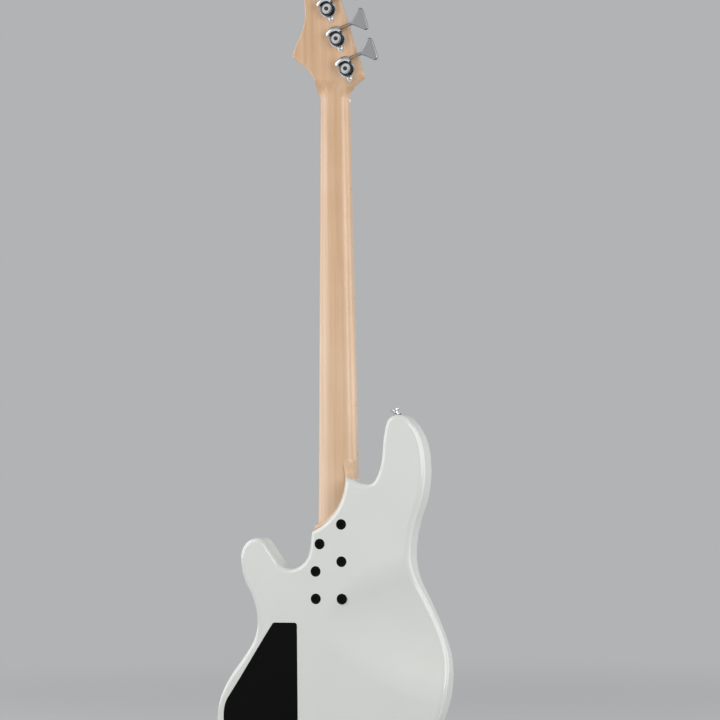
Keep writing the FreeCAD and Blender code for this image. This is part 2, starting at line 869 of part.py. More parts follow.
def winding(index):
    # centre, radius, start angle and start height of a string's turns on its post
    diameter = string_diameters[index]
    post = post_places()[index]
    radius = post_waist_radius + winding_clearance + diameter / 2
    crown = string_run(index)[2]
    away = Vector(crown.x - post.x, 0, crown.z - post.z)
    start = math.atan2(away.z, away.x) + math.acos(radius / away.Length)
    height = headstock_y - bushing_flange - winding_standoff - diameter / 2
    return post, radius, start, height


def winding_node(index, angle):
    # place and direction on the turns, at an angle from where the string touches them
    post, radius, start, height = winding(index)
    rise = (string_diameters[index] + winding_gap) / (2 * math.pi)
    a = start + angle
    place = Vector(post.x + radius * math.cos(a), height - rise * angle, post.z + radius * math.sin(a))
    way = Vector(-radius * math.sin(a), -rise, radius * math.cos(a)).normalize()
    return place, way


def string_nodes(index):
    # places and directions along the string, from its ball to its tail
    anchor, saddle, crown = string_run(index)
    touch = winding_node(index, 0)[0]
    nodes = []
    corners = [anchor, saddle, crown, touch]
    first = (saddle - anchor).normalize()
    nodes.append((anchor, first))
    for before, corner, after in zip(corners, corners[1:], corners[2:]):
        enter = (corner - before).normalize()
        leave = (after - corner).normalize()
        reach = string_bend_radius * math.tan(enter.getAngle(leave) / 2)
        nodes.append((corner - enter * reach, enter))
        nodes.append((corner + leave * reach, leave))
    leave = (touch - crown).normalize()
    nodes.append((touch - leave * winding_lead, leave))
    for quarter in range(4 * winding_turn_counts[index]):
        nodes.append(winding_node(index, math.pi / 4 + quarter * math.pi / 2))
    place, way = nodes[-1]
    nodes.append((place + way * string_diameters[index], way))
    return nodes


def string_wire(index):
    nodes = string_nodes(index)
    edges = []
    for (a, a_way), (b, b_way) in zip(nodes, nodes[1:]):
        edges += biarc(a, a_way, b, b_way)
    return Part.Wire(edges)


def own_gap(wire, diameter):
    # the least gap of the wound end to itself, between points more than a half turn apart
    points = []
    for edge in wire.Edges:
        if edge.BoundBox.ZMin > nut_z + nut_thickness:
            points += edge.discretize(Distance=diameter)[1:]
    least = None
    skip = int(math.pi * post_waist_radius / diameter) + 1
    for i, a in enumerate(points):
        for b in points[i + skip:]:
            gap = (b - a).Length - diameter
            least = gap if least is None else min(least, gap)
    return least


def make_strings():
    names = ["e", "a", "d", "g"]
    balls = []
    for index, diameter in enumerate(string_diameters):
        wire = string_wire(index)
        place, way = string_nodes(index)[0]
        profile = Part.Wire(Part.makeCircle(diameter / 2, place, way))
        tube = wire.makePipeShell([profile], True, False)
        full = math.pi * (diameter / 2) ** 2 * wire.Length
        gap = own_gap(wire, diameter)
        print("string", names[index], "length", round(wire.Length, 1), "gap to itself", round(gap, 2),
              "volume share", round(tube.Volume / full, 4))
        save(tube, "string_" + names[index])
        centre = place - Vector(0, 0, ball_radius)
        half = Vector(ball_length / 2, 0, 0)
        balls.append(ring(ball_radius, ball_hole_radius, centre - half, centre + half))
    save(group(balls), "string_ball_ends")


def make_nut():
    half = neck_half(nut_z)
    top = crown_y - max(string_diameters) - nut_top_cover
    blank = block(Vector(-half, top, nut_z), Vector(half, board_seat_y, nut_z + nut_thickness))
    cuts = []
    for index, diameter in enumerate(string_diameters):
        crown = string_run(index)[2]
        touch = winding_node(index, 0)[0]
        width = diameter / 2 + nut_slot_gap
        cuts.append(rod(width, crown, touch))
        way = (touch - crown).normalize()
        middle = crown + way * ((nut_z + nut_thickness / 2 - crown.z) / way.z)
        low = Vector(middle.x - width, top - overrun, nut_z - overrun)
        cuts.append(block(low, Vector(middle.x + width, middle.y, nut_z + nut_thickness + overrun)))
    save(blank.cut(cuts), "nut")


def make_neck_fixings():
    screws = []
    ferrules = []
    for place in bolt_places():
        inward = Vector(0, -1, 0)
        seat = place + inward * (bolt_head + bolt_head_recess)
        length = seat.y - top_y - bolt_tip_margin
        shank = rod(bolt_radius, seat, seat + inward * length)
        head = rod(bolt_head_radius, seat - inward * bolt_head, seat)
        top = seat - inward * bolt_head
        drive = cross_drive(bolt_head_radius * drive_share, bolt_drive_width, bolt_drive_depth, top, inward)
        screws.append(head.cut(drive).fuse(shank).removeSplitter())
        floor = place + inward * ferrule_depth
        cup = rod(ferrule_radius, place, floor)
        cup = cup.cut([rod(bolt_head_radius + fit_gap, place, seat), rod(bolt_radius, seat, floor)])
        ferrules.append(cup)
    save(group(screws), "neck_screws")
    save(group(ferrules), "neck_ferrules")


def gear_pitch_radius():
    return gear_module * gear_tooth_count / 2


def worm_offset():
    return gear_pitch_radius() + worm_pitch_radius


def tuner_frame(index):
    # the tuner's own frame: post axis on +Y from the headstock's back, tip at +Z, key at -X
    return FreeCAD.Placement(post_places()[index], FreeCAD.Rotation(Vector(0, 1, 0), headstock_tilt))


def tuner_placed(shape, index):
    placed = shape.copy()
    placed.Placement = tuner_frame(index).multiply(shape.Placement)
    return placed


def tuner_screw_places():
    # one screw in each base's tab, which points at the nut
    spot = Vector(0, base_plate, -base_tab_reach)
    return [tuner_frame(index).multVec(spot) for index in range(string_count)]


def housing_half():
    return worm_length / 2 + run_gap + housing_wall


def worm_hood():
    # a dome bent round the post's axis, over the worm
    inner = worm_offset() - housing_radius
    outer = worm_offset() + housing_radius
    corners = [Vector(inner, worm_axis_height, 0), Vector(inner, 0, 0), Vector(outer, 0, 0)]
    corners.append(Vector(outer, worm_axis_height, 0))
    crown = Vector(worm_offset(), worm_axis_height + housing_radius, 0)
    edges = [line(a, b) for a, b in zip(corners, corners[1:])]
    edges.append(Part.Arc(corners[-1], crown, corners[0]).toShape())
    band = Part.Face(Part.Wire(edges)).revolve(Vector(0, 0, 0), Vector(0, 1, 0), 360)
    return band.common(block(Vector(-housing_half(), 0, inner), Vector(housing_half(), crown.y, outer)))


def tuner_base():
    # cast plate with a screw tab and the hood that houses the worm, open towards the gear
    disc = rod(base_radius, Vector(0, 0, 0), Vector(0, base_plate, 0))
    half_tab = base_tab_width / 2
    tab = block(Vector(-half_tab, 0, -base_tab_reach), Vector(half_tab, base_plate, 0))
    tab_end = Vector(0, 0, -base_tab_reach)
    plates = [tab, rod(half_tab, tab_end, tab_end + Vector(0, base_plate, 0))]
    half = housing_half()
    left = Vector(-half, worm_axis_height, worm_offset())
    right = Vector(half, worm_axis_height, worm_offset())
    plates.append(worm_hood())
    top = worm_axis_height + housing_radius + overrun
    room = gear_pitch_radius() + gear_addendum + run_gap
    cuts = [rod(room, Vector(0, gear_floor() - run_gap, 0), Vector(0, top, 0))]
    worm_room = worm_pitch_radius + gear_addendum + run_gap
    inset = Vector(housing_wall, 0, 0)
    cuts.append(rod(worm_room, left + inset, right - inset))
    cuts.append(rod(key_shaft_radius + run_gap, left - inset, right + inset))
    cuts.append(rod(post_radius + run_gap, Vector(0, -overrun, 0), Vector(0, base_plate + overrun, 0)))
    cuts.append(rod(base_screw_radius, tab_end, tab_end + Vector(0, base_plate, 0)))
    return disc.fuse(plates).removeSplitter().cut(cuts)


def gear_floor():
    return worm_axis_height - gear_width / 2


def tuner_gear():
    # spur wheel with straight-sided teeth, a boss and the screw that holds it to the post
    pitch_angle = 2 * math.pi / gear_tooth_count
    root = gear_pitch_radius() - gear_dedendum
    tip = gear_pitch_radius() + gear_addendum
    points = []
    for tooth in range(gear_tooth_count):
        middle = tooth * pitch_angle
        for radius, share, side in ((root, gear_tooth_root_share, -1), (tip, gear_tooth_tip_share, -1),
                                    (tip, gear_tooth_tip_share, 1), (root, gear_tooth_root_share, 1)):
            angle = middle + side * share * pitch_angle / 2
            points.append(Vector(radius * math.sin(angle), gear_floor(), radius * math.cos(angle)))
    wheel = slab(Part.makePolygon(points + points[:1]), gear_width)
    face = gear_floor() + gear_width
    boss = rod(gear_boss_radius, Vector(0, face, 0), Vector(0, face + gear_boss, 0))
    seat = Vector(0, face + gear_boss, 0)
    dish = ring(gear_dish_radius, gear_boss_radius, Vector(0, face - gear_dish, 0), Vector(0, face, 0))
    wheel = wheel.fuse(boss).removeSplitter().cut([dish, rod(gear_screw_shank, Vector(0, 0, 0), seat)])
    shank = rod(gear_screw_shank, Vector(0, base_plate, 0), seat)
    head = rod(gear_screw_radius, seat, seat + Vector(0, gear_screw_head, 0))
    half = gear_screw_slot / 2
    low = Vector(-half, seat.y + half, -gear_screw_radius)
    slot = block(low, Vector(half, seat.y + gear_screw_head, gear_screw_radius))
    return group([wheel, head.cut(slot).fuse(shank).removeSplitter()])


def tuner_post():
    # turned post: a journal through the bushing, a waist for the string's turns and a flange
    foot = gear_floor()
    face = headstock_y - heel_y - bushing_flange - run_gap
    top = headstock_y - heel_y - post_reach
    profile = [(0, foot), (post_radius, foot), (post_radius, face), (post_waist_radius, face)]
    profile += [(post_waist_radius, top + post_flange), (post_flange_radius, top + post_flange)]
    profile += [(post_flange_radius, top + post_flange / 2), (post_waist_radius, top), (0, top)]
    post = revolve(profile, Vector(0, 0, 0), Vector(0, 1, 0))
    bore = rod(gear_screw_shank, Vector(0, base_plate, 0), Vector(0, foot, 0))
    half = post_slot / 2
    low = Vector(-half, top, -post_flange_radius)
    slot = block(low, Vector(half, top + post_slot_depth, post_flange_radius))
    return post.cut([bore, slot])


def worm():
    # single-start right-hand thread on a core, along +Z, centred
    pitch = math.pi * gear_module
    helix = Part.makeHelix(pitch, worm_turn_count * pitch, worm_pitch_radius)
    root = worm_pitch_radius - gear_dedendum
    tip = worm_pitch_radius + gear_addendum
    buried = root - gear_dedendum / 2
    wide = worm_root_share * pitch / 2
    slim = worm_tip_share * pitch / 2
    points = [Vector(buried, 0, -wide), Vector(root, 0, -wide), Vector(tip, 0, -slim)]
    points += [Vector(tip, 0, slim), Vector(root, 0, wide), Vector(buried, 0, wide)]
    profile = Part.makePolygon(points + points[:1])
    thread = Part.Wire(helix.Edges).makePipeShell([profile], True, True)
    thread.translate(Vector(0, 0, -worm_turn_count * pitch / 2))
    core = rod(root, Vector(0, 0, -worm_length / 2), Vector(0, 0, worm_length / 2))
    return core.fuse(thread)


def key_paddle():
    half_points = [(Vector(s * key_length, 0, w * key_width / 2), h) for s, w, h in key_outline_shares]
    mirrored = [(Vector(p.x, 0, -p.z), 180 - h) for p, h in reversed(half_points[:-1])]
    points = half_points + mirrored
    edges = outline_edges(points) + [line(points[-1][0], points[0][0])]
    paddle = slab(Part.Wire(edges), key_thickness)
    rims = [e for e in rim_edges(paddle) if e.BoundBox.XMax > key_edge_radius / 10]
    paddle = paddle.makeFillet(key_edge_radius, rims)
    paddle.translate(Vector(0, -key_thickness / 2, 0))
    return paddle


def tuner_key():
    # one piece: worm, shaft and cast key, along -X
    half = worm_length / 2
    screw_part = worm()
    screw_part.rotate(Vector(0, 0, 0), Vector(0, 1, 0), 90)
    outer = rod(key_shaft_radius, Vector(-half, 0, 0), Vector(-key_reach - key_edge_radius, 0, 0))
    inner = rod(key_shaft_radius, Vector(half, 0, 0), Vector(housing_half(), 0, 0))
    paddle = key_paddle()
    paddle.rotate(Vector(0, 0, 0), Vector(0, 1, 0), 180)
    paddle.translate(Vector(-key_reach, 0, 0))
    key = screw_part.fuse([outer, inner, paddle])
    key.translate(Vector(0, worm_axis_height, worm_offset()))
    return key


def make_tuners():
    base = tuner_base()
    gear = tuner_gear()
    post = tuner_post()
    key = tuner_key()
    bushings = []
    face = Vector(0, headstock_y - heel_y, 0)
    bore = post_radius + run_gap
    sleeve = ring(bushing_radius, bore, face, face + Vector(0, bushing_depth, 0))
    flange = ring(bushing_flange_radius, bore, face - Vector(0, bushing_flange, 0), face)
    bushing = sleeve.fuse(flange).removeSplitter()
    screws = []
    for index in range(string_count):
        number = str(index + 1)
        save(tuner_placed(base, index), "tuner_base_" + number)
        save(tuner_placed(gear, index), "tuner_gear_" + number)
        save(tuner_placed(post, index), "tuner_post_" + number)
        save(tuner_placed(key, index), "tuner_key_" + number)
        bushings.append(tuner_placed(bushing, index))
    for spot in tuner_screw_places():
        screws.append(screw(spot, Vector(0, -1, 0), base_screw_radius, base_screw_head_radius,
                            base_screw_head, base_screw_length))
    save(group(bushings), "tuner_bushings")
    save(group(screws), "tuner_screws")


def make_bridge():
    seat = top_y - bridge_plate_thickness
    rear = bridge_setback - bridge_rear
    front = bridge_setback + bridge_front
    half = bridge_width / 2
    plate = block(Vector(-half, seat, rear - bridge_wall), Vector(half, top_y, front))
    places = [Vector(x, 0, z) for x in (-half, half) for z in (front, rear - bridge_wall)]
    plate = plate.makeFillet(bridge_corner_radius, upright_edges(plate, places, bridge_corner_radius))
    wall_half = half - bridge_corner_radius
    low = Vector(-wall_half, seat - bridge_wall_height, rear - bridge_wall)
    wall = block(low, Vector(wall_half, seat, rear))
    plate = plate.fuse(wall).removeSplitter()
    cuts = []
    screws = []
    for index, diameter in enumerate(string_diameters):
        anchor, saddle, crown = string_run(index)
        way = (saddle - anchor).normalize()
        through = anchor + way * (2 * bridge_wall)
        cuts.append(rod(diameter / 2 + string_hole_gap, anchor - way * overrun, through))
        spot = Vector(anchor.x, seat - intonation_screw_height - saddle_lift, rear - bridge_wall)
        end = Vector(spot.x, spot.y, saddle_z(index) - saddle_rear + intonation_screw_reach)
        behind = spot - Vector(0, 0, overrun)
        cuts.append(rod(intonation_screw_radius + fit_gap, behind, spot + Vector(0, 0, 2 * bridge_wall)))
        shank = rod(intonation_screw_radius, spot, end)
        head = rod(intonation_head_radius, spot - Vector(0, 0, intonation_head), spot)
        drive = cross_drive(intonation_head_radius * drive_share, bolt_drive_width, intonation_head / 2,
                            spot - Vector(0, 0, intonation_head), Vector(0, 0, 1))
        screws.append(head.cut(drive).fuse(shank).removeSplitter())
    save(group(screws), "intonation_screws")
    fixings = []
    for place in bridge_screw_places():
        cuts.append(rod(bridge_screw_radius, place, place + Vector(0, bridge_plate_thickness, 0)))
        fixings.append(screw(place, Vector(0, 1, 0), bridge_screw_radius, bridge_screw_head_radius,
                             bridge_screw_head, bridge_screw_length))
    save(plate.cut(cuts), "bridge_plate")
    save(group(fixings), "bridge_screws")
    for index in range(string_count):
        save(saddle_group(index), "saddle_" + str(index + 1))


def saddle_group(index):
    # a milled block with a string groove, bored for its intonation screw, on two height screws
    diameter = string_diameters[index]
    x = string_x(index, bridge_string_pitch)
    z = saddle_z(index)
    seat = top_y - bridge_plate_thickness
    crest = string_seat_y(z) + saddle_string_gap - saddle_groove_depth
    sole = seat - saddle_lift
    front = z + saddle_front
    rear = z - saddle_rear
    side = [Vector(x, sole, rear), Vector(x, sole, front), Vector(x, crest, front), Vector(x, crest, z)]
    side.append(Vector(x, crest + saddle_back_drop + saddle_groove_depth, rear))
    blank = Part.Face(Part.makePolygon(side + side[:1])).extrude(Vector(saddle_width, 0, 0))
    blank.translate(Vector(-saddle_width / 2, 0, 0))
    anchor, rest, crown = string_run(index)
    groove = diameter / 2 + saddle_groove_gap
    lift = Vector(0, saddle_string_gap - saddle_groove_gap, 0)
    way = (crown - rest).normalize()
    back = (anchor - rest).normalize()
    trough = rest + lift
    cuts = [rod(groove, trough - way * overrun, trough + way * (saddle_front + saddle_travel + overrun))]
    cuts.append(rod(groove, trough, trough + back * (saddle_rear + overrun)))
    low = Vector(x - groove, crest - overrun - diameter, rear - overrun)
    cuts.append(block(low, Vector(x + groove, rest.y, front + overrun)))
    bore = Vector(x, seat - intonation_screw_height - saddle_lift, rear - overrun)
    bore_end = Vector(x, bore.y, front + overrun)
    cuts.append(rod(intonation_screw_radius + run_gap, bore, bore_end))
    pieces = []
    for side_way in (-1, 1):
        foot = Vector(x + side_way * height_screw_spread / 2, seat - run_gap, z + height_screw_setback)
        head = Vector(foot.x, foot.y - height_screw_length, foot.z)
        cuts.append(rod(height_screw_radius, foot, Vector(foot.x, crest - overrun, foot.z)))
        pieces.append(rod(height_screw_radius, foot, head))
    return group([blank.cut(cuts)] + pieces)


def make_pickups():
    names = ["neck_pickup_cover", "bridge_pickup_cover"]
    coils = []
    screws = []
    for index, name in enumerate(names):
        top = pickup_top_y(index)
        rear = top + pickup_height
        z = pickup_z(index)
        shell = pickup_prism(index, 0, top, rear)
        rims = [e for e in rim_edges(shell) if e.BoundBox.YMax < top + pickup_edge_radius]
        shell = shell.makeFillet(pickup_edge_radius, rims)
        inner = pickup_prism(index, -pickup_wall, top + pickup_wall, rear + overrun)
        cuts = [inner]
        posts = []
        for place in pickup_screw_places(index):
            floor = Vector(place.x, rear, place.z)
            posts.append(rod(pickup_screw_head_radius, Vector(place.x, top + pickup_wall, place.z), floor))
            cuts.append(rod(pickup_screw_radius, place, floor))
            screws.append(screw(place, Vector(0, 1, 0), pickup_screw_radius, pickup_screw_head_radius,
                                pickup_screw_head, pickup_screw_length))
        shell = shell.cut(inner).fuse(posts).removeSplitter().cut(cuts[1:])
        save(shell, name)
        for way in (-1, 1):
            coils.append(pickup_coil(Vector(0, top + pickup_wall, z + way * coil_spacing / 2)))
    save(group(coils), "pickup_coils")
    save(group(screws), "pickup_screws")


def pickup_coil(middle):
    # a racetrack winding round a bar slot
    def track(width, length, depth):
        half_x = (width - length) / 2
        half_z = length / 2
        bar = block(Vector(middle.x - half_x, middle.y, middle.z - half_z),
                    Vector(middle.x + half_x, middle.y + depth, middle.z + half_z))
        ends = []
        for way in (-1, 1):
            end = Vector(middle.x + way * half_x, middle.y, middle.z)
            ends.append(rod(half_z, end, end + Vector(0, depth, 0)))
        return bar.fuse(ends).removeSplitter()
    slot = coil_length * coil_slot_share
    bar_slot = track(coil_width - coil_length + slot, slot, coil_height)
    return track(coil_width, coil_length, coil_height).cut(bar_slot)


def make_control_cover():
    cover = cover_prism(cover_gap, back_y, cover_thickness)
    cuts = []
    screws = []
    for place in cover_screw_places():
        inner = place - Vector(0, cover_thickness, 0)
        cuts.append(rod(cover_screw_radius, place, inner))
        sink = place - Vector(0, cover_screw_head, 0)
        cuts.append(rod(cover_screw_head_radius, place, sink))
        head = rod(cover_screw_head_radius, place, sink)
        drive = cross_drive(cover_screw_head_radius * drive_share, bolt_drive_width / 2,
                            cover_screw_head / 2, place, Vector(0, -1, 0))
        shank = rod(cover_screw_radius, sink, place - Vector(0, cover_screw_length, 0))
        screws.append(head.cut(drive).fuse(shank).removeSplitter())
    save(cover.cut(cuts), "control_cover")
    save(group(screws), "cover_screws")


def make_controls():
    housings = []
    nuts = []
    floor = top_y + cavity_front_wall
    for name, place in zip(control_names, control_places()):
        x, z = place.x, place.z
        can = rod(pot_radius, Vector(x, floor, z), Vector(x, floor + pot_height, z))
        neck_end = top_y - pot_bushing_rise
        sleeve = rod(pot_bushing_radius, Vector(x, neck_end, z), Vector(x, floor, z))
        lug_y = floor + pot_height / 2
        lug = block(Vector(x - pot_radius, lug_y - pot_lug_thickness, z + pot_radius * pot_lug_root_share),
                    Vector(x + pot_radius, lug_y, z + pot_radius + pot_lug))
        deep = floor + pot_shaft_depth
        bore = rod(pot_shaft_radius + run_gap, Vector(x, neck_end, z), Vector(x, deep + run_gap, z))
        housings.append(can.fuse([sleeve, lug]).removeSplitter().cut(bore))
        seat = Vector(x, top_y, z)
        nuts.append(hex_nut(seat, Vector(0, -1, 0), pot_nut_radius, pot_bushing_radius, pot_nut_height))
        tip = top_y - pot_shaft_rise
        save(rod(pot_shaft_radius, Vector(x, tip, z), Vector(x, deep, z)), "pot_shaft_" + name)
        save(control_knob(x, z, tip), "knob_" + name)
    save(group(housings), "potentiometers")
    save(group(nuts), "pot_nuts")


def hex_nut(seat, outward, radius, bore, height):
    side = outward.cross(Vector(0, 0, 1)).normalize()
    other = outward.cross(side)
    points = []
    for corner in range(6):
        angle = corner * math.pi / 3
        points.append(seat + side * (radius * math.cos(angle)) + other * (radius * math.sin(angle)))
    nut = Part.Face(Part.makePolygon(points + points[:1])).extrude(outward * height)
    return nut.cut(rod(bore, seat, seat + outward * height))


def control_knob(x, z, tip):
    # turned knob with a crowned top, a skirt over the nut and a bore for the shaft
    skirt = top_y - knob_skirt_gap
    top = skirt - knob_height
    profile = [(r * knob_radius, top + h * knob_crown) for r, h in knob_top_shares]
    well = skirt - knob_well_depth
    profile += [(knob_radius, skirt), (pot_nut_radius + run_gap, skirt), (pot_nut_radius + run_gap, well)]
    profile += [(pot_shaft_radius, well), (pot_shaft_radius, tip), (0, tip)]
    knob = revolve(profile, Vector(x, 0, z), Vector(0, 1, 0))
    flutes = []
    for number in range(knob_flute_count):
        side = heading_vector(360 * number / knob_flute_count) * (knob_radius * (1 + knob_flute_inset_share))
        flutes.append(rod(knob_flute_radius, Vector(x, top, z) + side, Vector(x, skirt, z) + side))
    return knob.cut(flutes)


def make_capacitor():
    # tone capacitor, lying on the cavity's floor between two potentiometers
    first, second = control_places()[1:3]
    middle = (first + second) / 2
    y = top_y + cavity_front_wall + capacitor_radius
    half = Vector(capacitor_length / 2, 0, 0)
    centre = Vector(middle.x, y, middle.z)
    save(rod(capacitor_radius, centre - half, centre + half), "tone_capacitor")


def make_jack():
    mouth = jack_place()
    face = mouth - Vector(jack_plate_thickness, 0, 0)
    plate = rod(jack_plate_radius, face, mouth)
    plate = plate.cut(rod(jack_sleeve_radius, face, mouth))
    save(plate, "jack_plate")
    rear = mouth - Vector(jack_bore_depth + jack_body_length, 0, 0)
    inner = mouth - Vector(jack_bore_depth, 0, 0)
    sleeve = rod(jack_sleeve_radius, mouth + Vector(jack_lip, 0, 0), inner)
    case = rod(jack_body_radius, face, rear)
    jack = sleeve.fuse(case).removeSplitter()
    save(jack.cut(rod(jack_bore_radius, mouth + Vector(jack_lip, 0, 0), inner)), "output_jack")


def strap_seats():
    # seat on the body and direction into it, for the tail and the bass horn
    places = (tail_button_shares, horn_button_shares)
    return [(body_point(shares), heading_vector(shares[2] + 90)) for shares in places]


def make_strap_buttons():
    buttons = []
    felts = []
    screws = []
    for seat, inward in strap_seats():
        outward = inward * -1
        felts.append(ring(felt_radius, strap_screw_radius, seat, seat + outward * felt_thickness))
        foot = seat + outward * felt_thickness
        waist_low = button_height * button_waist_low_share
        waist_high = button_height * button_waist_high_share
        profile = [(strap_screw_radius, 0), (button_foot_radius, 0), (button_foot_radius, button_rim / 2)]
        profile += [(button_waist_radius, waist_low), (button_waist_radius, waist_high)]
        profile.append((button_radius, button_height - button_rim))
        profile.append((button_radius, button_height - button_rim / 3))
        profile.append((button_radius * button_crown_share, button_height))
        profile.append((strap_screw_head_radius, button_height))
        profile.append((strap_screw_radius, button_height - strap_screw_head))
        buttons.append(revolve(profile, foot, outward))
        crown = foot + outward * button_height
        cone = Part.makeCone(strap_screw_head_radius, strap_screw_radius, strap_screw_head, crown, inward)
        drive = cross_drive(strap_screw_head_radius * drive_share, bolt_drive_width, bolt_drive_depth / 2,
                            crown, inward)
        end = seat + inward * strap_screw_length
        shank = rod(strap_screw_radius, crown + inward * strap_screw_head, end)
        screws.append(cone.cut(drive).fuse(shank).removeSplitter())
    save(group(buttons), "strap_buttons")
    save(group(felts), "strap_felts")
    save(group(screws), "strap_screws")


heel_centre = make_body()
make_neck(heel_centre)
make_fingerboard()
make_frets()
save(group(dot_solids()), "position_markers")
make_truss_rod()
make_nut()
make_neck_fixings()
make_strings()
make_tuners()
make_bridge()
make_pickups()
make_control_cover()
make_controls()
make_capacitor()
make_jack()
make_strap_buttons()
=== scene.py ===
import math

import bmesh
import bpy
from mathutils import Matrix, Vector


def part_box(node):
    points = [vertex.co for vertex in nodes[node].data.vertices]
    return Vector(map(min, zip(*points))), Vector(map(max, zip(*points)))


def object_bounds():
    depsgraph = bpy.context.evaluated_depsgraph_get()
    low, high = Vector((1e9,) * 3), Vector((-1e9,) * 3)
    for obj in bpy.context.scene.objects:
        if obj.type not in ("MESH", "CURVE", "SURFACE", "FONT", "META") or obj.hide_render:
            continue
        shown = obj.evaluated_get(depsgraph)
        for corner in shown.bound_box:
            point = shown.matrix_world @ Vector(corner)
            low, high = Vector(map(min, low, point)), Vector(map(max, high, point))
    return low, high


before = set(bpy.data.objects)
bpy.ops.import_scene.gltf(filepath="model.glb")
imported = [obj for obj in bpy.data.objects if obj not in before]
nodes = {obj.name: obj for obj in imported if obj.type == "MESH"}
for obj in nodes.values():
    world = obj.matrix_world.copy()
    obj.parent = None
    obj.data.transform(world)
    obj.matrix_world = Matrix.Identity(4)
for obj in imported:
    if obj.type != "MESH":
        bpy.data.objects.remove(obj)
cad_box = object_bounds()


# Body: a slab of light hardwood, sawn to its outline, rounded along its edges and hollowed at the back for
# the player's ribs. White polyester is sprayed over it, sanded flat and polished, which leaves a faint
# orange peel under the gloss.
class Wire:
    """A socket in a node tree: arithmetic on it adds Math nodes, and node() adds a node of any type."""

    def __init__(self, tree, socket=None):
        self.tree = tree
        self.socket = socket

    def node(self, kind, settings=None, links=None, out=0):
        made = self.tree.nodes.new("ShaderNode" + kind)
        for name, value in (settings or {}).items():
            if name == "stops":
                for place, colour in value[2:]:
                    made.color_ramp.elements.new(place)
                for element, (place, colour) in zip(made.color_ramp.elements, value):
                    element.position, element.color = place, (*colour, 1.0)
            else:
                setattr(made, name, value)
        for key, value in (links or {}).items():
            if isinstance(value, Wire):
                self.tree.links.new(value.socket, made.inputs[key])
            else:
                made.inputs[key].default_value = value
        return Wire(self.tree, made.outputs[out] if made.outputs else None)

    def math(self, operation, first, second):
        return self.node("Math", {"operation": operation}, {0: first, 1: second})

    def __add__(self, other):
        return self.math("ADD", self, other)

    def __sub__(self, other):
        return self.math("SUBTRACT", self, other)

    def __rsub__(self, other):
        return self.math("SUBTRACT", other, self)

    def __mul__(self, other):
        return self.math("MULTIPLY", self, other)

    __radd__ = __add__
    __rmul__ = __mul__


def finish(name, constants):
    """A new material with its constant values set; gives the material and its bare node tree as a Wire."""
    made = bpy.data.materials.new(name)
    made.use_nodes = True
    for key, value in constants.items():
        made.node_tree.nodes["Principled BSDF"].inputs[key].default_value = value
    return made, Wire(made.node_tree)


def vary(made, links):
    """Links what changes over the surface to the material's shader."""
    shader = made.node_tree.nodes["Principled BSDF"]
    for key, value in links.items():
        made.node_tree.links.new(value.socket, shader.inputs[key])


def spot(wire):
    """The point of the surface, in metres of the part's frame."""
    return wire.node("TexCoord", out="Object")


def noise(wire, per_metre, detail=3.0):
    """Noise of so many cells a metre along X, Y and Z of the part's frame, from 0 to 1."""
    scaled = wire.node("VectorMath", {"operation": "MULTIPLY"}, {0: spot(wire), 1: per_metre})
    return wire.node("TexNoise", {}, {"Vector": scaled, "Scale": 1.0, "Detail": detail, "Roughness": 0.55})


def shade(wire, factor, *stops):
    """A colour that runs through the stops, each a place from 0 to 1 and a colour, as the factor grows."""
    return wire.node("ValToRGB", {"stops": stops}, {"Fac": factor})


def bump(wire, height, depth):
    """A normal from a height of 0 to 1 that stands for depth metres."""
    return wire.node("Bump", {}, {"Height": height, "Distance": depth, "Strength": 1.0})


def dress(made, *names):
    """Gives the named nodes this material alone."""
    for name in names:
        slots = nodes[name].data.materials
        slots.clear()
        slots.append(made)


peel_depth = 0.000006
lacquer, w = finish("white_polyester",
                    {"Coat Weight": 1.0, "Coat Roughness": 0.12, "Specular IOR Level": 0.2})
cloud = noise(w, (7.0, 7.0, 7.0))
peel = noise(w, (420.0, 420.0, 420.0), detail=1.0)
vary(lacquer, {
    "Base Color": shade(w, cloud, (0.3, (0.630, 0.643, 0.612)), (0.7, (0.660, 0.670, 0.640))),
    "Roughness": 0.2 + cloud * 0.06,
    "Normal": bump(w, peel, peel_depth),
})
dress(lacquer, "body")


# Neck: one piece of maple with its grain along the strings, carved round at the back, with the headstock in
# line. It keeps its own colour under a thin satin varnish. That colour is painted paler toward the heel, a
# painted light for the glow the white body throws on the neck there. The fingerboard is a second slip of
# maple, glued on.
grain_depth = 0.00006
tip_z, heel_z = 1.10, 0.45
maple, w = finish("maple", {"Coat Weight": 1.0, "Coat Roughness": 0.3, "Specular IOR Level": 0.3})
bands = noise(w, (42.0, 42.0, 1.6), detail=2.0)
streaks = noise(w, (260.0, 260.0, 5.0), detail=4.0)
pores = noise(w, (1500.0, 1500.0, 45.0), detail=2.0)
clouds = noise(w, (16.0, 16.0, 14.0), detail=1.0)
up_neck = w.node("SeparateXYZ", {}, {"Vector": spot(w)}, out="Z")
# painted light: the maple's colour is lifted toward the heel for the glow the white body throws on it
painted_heel_glow = w.node("MapRange", {}, {"Value": up_neck, "From Min": tip_z, "From Max": heel_z,
                                 "To Min": -0.04, "To Max": 0.12})
figure = bands * 0.4 + streaks * 0.3 + pores * 0.1 + clouds * 0.2 + painted_heel_glow
vary(maple, {
    "Base Color": shade(w, figure, (0.30, (0.460, 0.277, 0.148)), (0.46, (0.565, 0.357, 0.205)),
                        (0.55, (0.618, 0.412, 0.255)), (0.72, (0.689, 0.487, 0.329))),
    "Roughness": 0.38 + streaks * 0.16,
    "Normal": bump(w, streaks * 0.6 + pores * 0.4, grain_depth),
})
dress(maple, "neck", "fingerboard")


